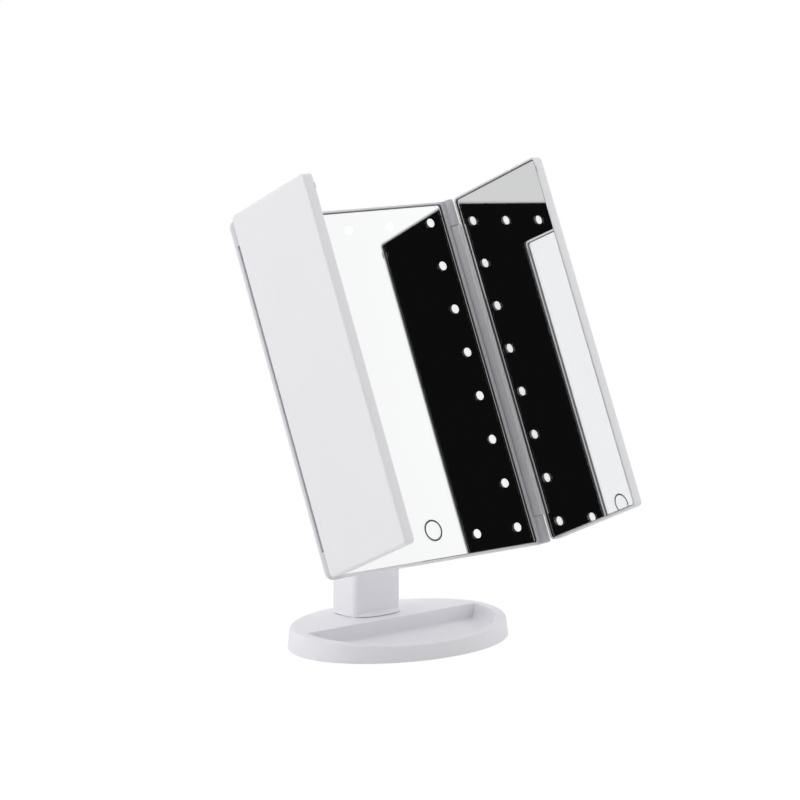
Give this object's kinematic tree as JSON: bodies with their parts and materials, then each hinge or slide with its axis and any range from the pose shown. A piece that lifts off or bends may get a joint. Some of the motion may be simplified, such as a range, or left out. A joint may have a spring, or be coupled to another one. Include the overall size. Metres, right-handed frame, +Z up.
{
  "type": "trifold vanity mirror",
  "caption": "Lighted tabletop trifold vanity mirror: centre mirror with ring of light windows, two folding side mirrors, tilting column and oval tray base.",
  "frame": {"origin": "centre of the oval base, on the underside of its pad", "axes": "+Z up, the viewer at -Y, +X to the viewer's right"},
  "size_m": [0.1998, 0.1792, 0.3093],
  "materials": {
    "white_shell": "satin white moulding",
    "base_cover_white": "matt white moulding",
    "pad_grey": "foam rubber",
    "screw_steel": "zinc plated",
    "pin_steel": "bright",
    "bush_natural": "natural",
    "washer_fibre": "fibre",
    "mirror_glass": "polished float glass",
    "mirror_silver": "silvered",
    "tape_foam": "foam tape",
    "ring_grey": "printed",
    "foam_black": "conductive foam",
    "board_green": "solder mask",
    "diffuser_white": "translucent white",
    "led_cream": "phosphor",
    "cell_jacket": "plain film",
    "contact_steel": "nickel plated",
    "switch_black": "moulded",
    "bumper_grey": "soft"
  },
  "bodies": {
    "stand": {"base_shell": "white_shell", "base_plate": "base_cover_white", "base_pad": "pad_grey", "base_screws": "screw_steel", "column": "white_shell", "column_screws": "screw_steel", "tilt_bushes": "bush_natural"},
    "head": {"front_frame": "white_shell", "centre_mirror": "mirror_glass", "centre_silver": "mirror_silver", "centre_tape": "tape_foam", "touch_ring": "ring_grey", "touch_foam": "foam_black", "touch_board": "board_green", "light_pipes": "diffuser_white", "led_chips": "led_cream", "led_boards": "board_green", "rear_cover": "white_shell", "case_screws": "screw_steel", "battery_cells": "cell_jacket", "battery_contacts": "contact_steel", "driver_board": "board_green", "usb_socket": "contact_steel", "switch_housing": "switch_black", "hinge_pins": "pin_steel", "tilt_axle": "pin_steel", "axle_nut": "pin_steel", "friction_washers": "washer_fibre", "axle_caps": "white_shell"},
    "door": {"battery_door": "white_shell"},
    "switch": {"power_switch": "switch_black"},
    "left_wing": {"left_wing_shell": "white_shell", "left_wing_mirror": "mirror_glass", "left_wing_silver": "mirror_silver", "left_wing_tape": "tape_foam", "left_wing_bumper": "bumper_grey"},
    "right_wing": {"right_wing_shell": "white_shell", "right_wing_mirror": "mirror_glass", "right_wing_silver": "mirror_silver", "right_wing_tape": "tape_foam", "right_wing_bumper": "bumper_grey"}
  },
  "joints": [
    {"name": "head_tilt", "type": "hinge", "parent": "stand", "child": "head", "pos_m": [0, 0.033, 0.1328], "axis": [-1, 0, 0], "range_deg": [-34.3, 65.7]},
    {"name": "left_wing_hinge", "type": "hinge", "parent": "head", "child": "left_wing", "pos_m": [-0.088, 0.00434, 0.16823], "axis": [0, 0.4115, 0.9114], "range_deg": [-89.8, 90.2]},
    {"name": "right_wing_hinge", "type": "hinge", "parent": "head", "child": "right_wing", "pos_m": [0.088, 0.00434, 0.16823], "axis": [0, -0.4115, -0.9114], "range_deg": [-85.4, 94.6]},
    {"name": "door_slide", "type": "slide", "parent": "head", "child": "door", "axis": [0, 0.4115, 0.9114], "range_m": [0, 0.062]},
    {"name": "switch_slide", "type": "slide", "parent": "head", "child": "switch", "axis": [0, 0.4115, 0.9114], "range_m": [0, 0.004]}
  ]
}
